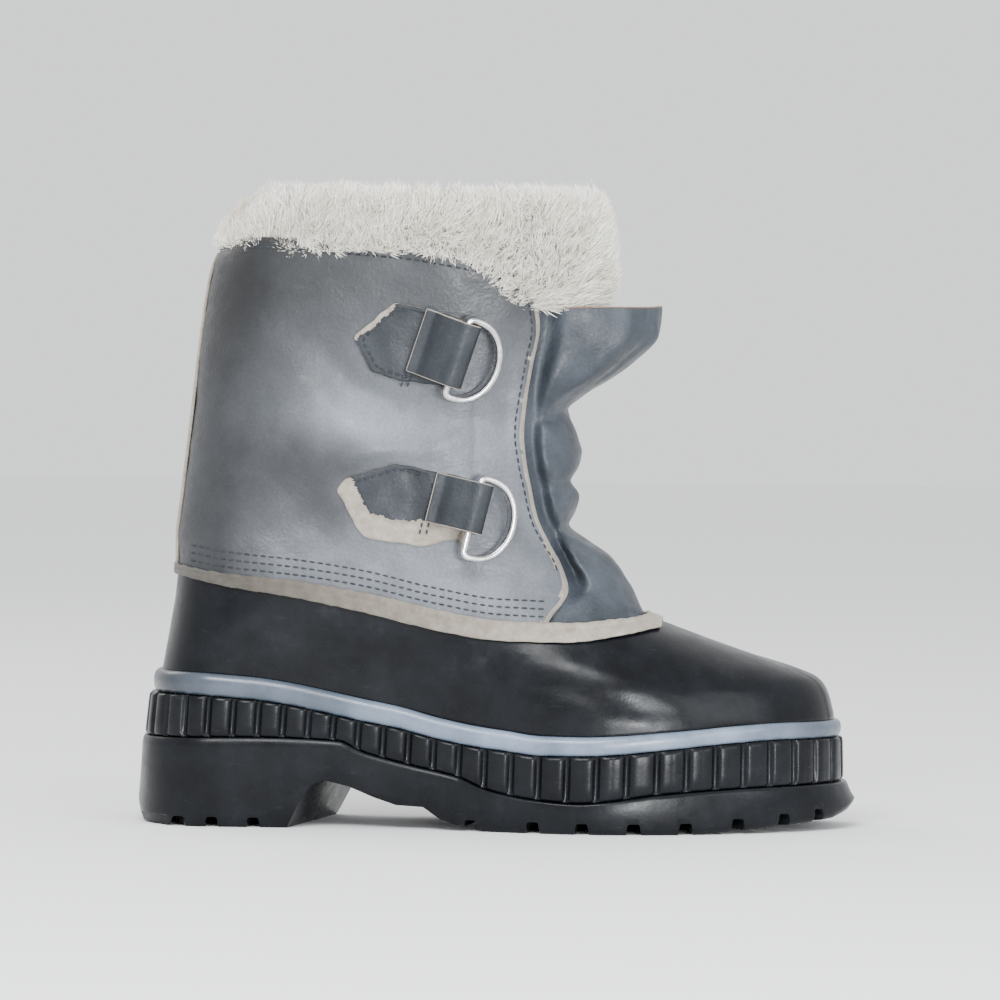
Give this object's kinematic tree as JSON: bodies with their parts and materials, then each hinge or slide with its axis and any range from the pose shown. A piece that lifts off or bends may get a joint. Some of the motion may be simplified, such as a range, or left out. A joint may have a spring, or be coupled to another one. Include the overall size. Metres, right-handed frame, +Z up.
{
  "type": "snow boot",
  "caption": "Pac-style snow boot, right foot: lugged black rubber sole and shell, blue-grey band, grey leather shaft with gusset tongue, D-rings and a deep cream pile cuff.",
  "frame": {"origin": "on the floor, under the middle of the boot's bounding box", "axes": "+X towards the toe, +Y towards the inner side of the foot, +Z up the shaft"},
  "size_m": [0.2893, 0.1142, 0.2535],
  "materials": {
    "black_rubber": "satin, lightly scuffed",
    "blue_grey_rubber": "glossy",
    "grey_felt": "matt",
    "beige_edge": "matt, raw edge",
    "grey_leather": "semi-matt, creased",
    "cream_pile": "deep pile",
    "nickel": "bright nickel"
  },
  "bodies": {
    "boot": {"outsole": "black_rubber", "midsole": "black_rubber", "welt_band": "blue_grey_rubber", "insole": "grey_felt", "shell": "black_rubber", "shell_trim": "beige_edge", "shaft": "grey_leather", "back_strip": "beige_edge", "tongue": "grey_leather", "fur_cuff": "cream_pile", "ring_patch_outer_upper": "grey_leather", "ring_patch_inner_upper": "grey_leather", "ring_patch_outer_lower": "grey_leather", "ring_patch_inner_lower": "grey_leather"},
    "ring_outer_upper": {"d_ring_outer_upper": "nickel"},
    "ring_outer_lower": {"d_ring_outer_lower": "nickel"},
    "ring_inner_upper": {"d_ring_inner_upper": "nickel"},
    "ring_inner_lower": {"d_ring_inner_lower": "nickel"}
  },
  "joints": [
    {"name": "ring_hinge_outer_upper", "type": "hinge", "parent": "boot", "child": "ring_outer_upper", "pos_m": [-0.0156, -0.0509, 0.18967], "axis": [-0.3136, 0.04, -0.9487], "range_deg": [-2, 158]},
    {"name": "ring_hinge_outer_lower", "type": "hinge", "parent": "boot", "child": "ring_outer_lower", "pos_m": [-0.00868, -0.04666, 0.12894], "axis": [-0.2299, -0.0683, -0.9708], "range_deg": [-2, 158]},
    {"name": "ring_hinge_inner_upper", "type": "hinge", "parent": "boot", "child": "ring_inner_upper", "pos_m": [-0.0156, 0.0497, 0.18967], "axis": [0.3136, 0.04, 0.9487], "range_deg": [-2, 158]},
    {"name": "ring_hinge_inner_lower", "type": "hinge", "parent": "boot", "child": "ring_inner_lower", "pos_m": [-0.00868, 0.04546, 0.12894], "axis": [0.2299, -0.0683, 0.9708], "range_deg": [-2, 158]}
  ]
}
